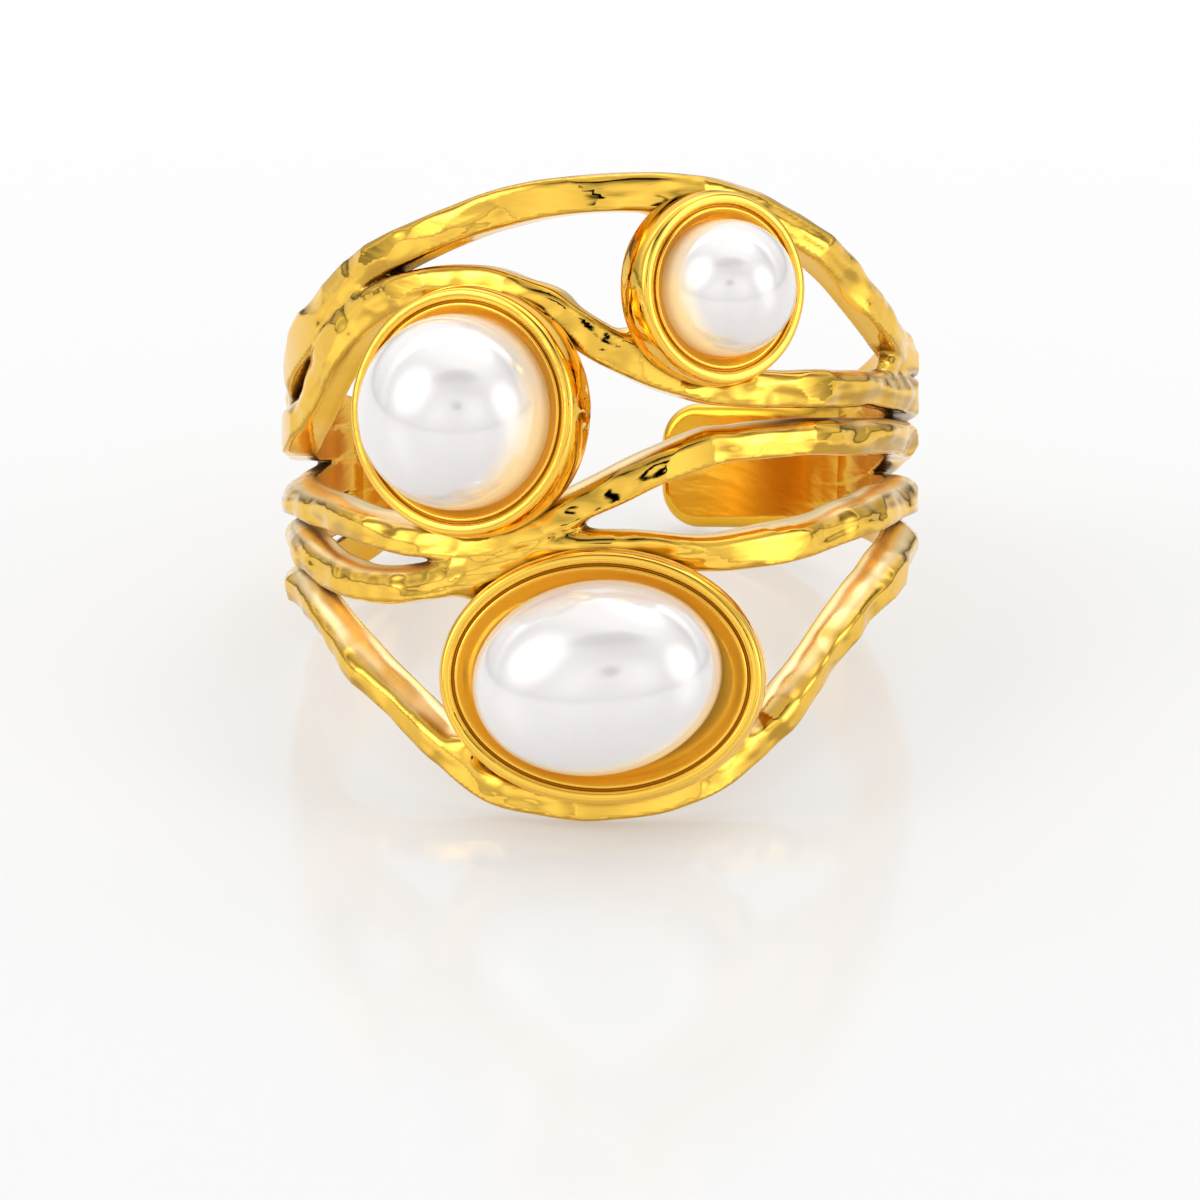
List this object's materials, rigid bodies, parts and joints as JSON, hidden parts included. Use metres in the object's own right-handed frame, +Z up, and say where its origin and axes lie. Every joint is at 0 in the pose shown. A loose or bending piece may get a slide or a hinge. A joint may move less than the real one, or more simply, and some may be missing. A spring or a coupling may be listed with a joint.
{
  "type": "pearl wrap ring",
  "caption": "Open wrap ring whose hammered strips fan out across the front and hold round and oval half pearls in plain bezel cups; two flat tabs meet at the back.",
  "frame": {"origin": "middle of the base of the bounding box, on the surface that the ring lies on", "axes": "+X to the right seen from the front, +Y from the pearls towards the two back tabs, +Z up; the finger's axis leans 24.21 degrees back from +Z towards +Y"},
  "size_m": [0.0204, 0.025, 0.0183],
  "materials": {
    "gold": "polished, hammered",
    "pearl": "pearl lustre"
  },
  "bodies": {
    "root": {"band": "gold", "pearl_large": "pearl", "pearl_small": "pearl", "pearl_oval": "pearl"}
  },
  "joints": []
}
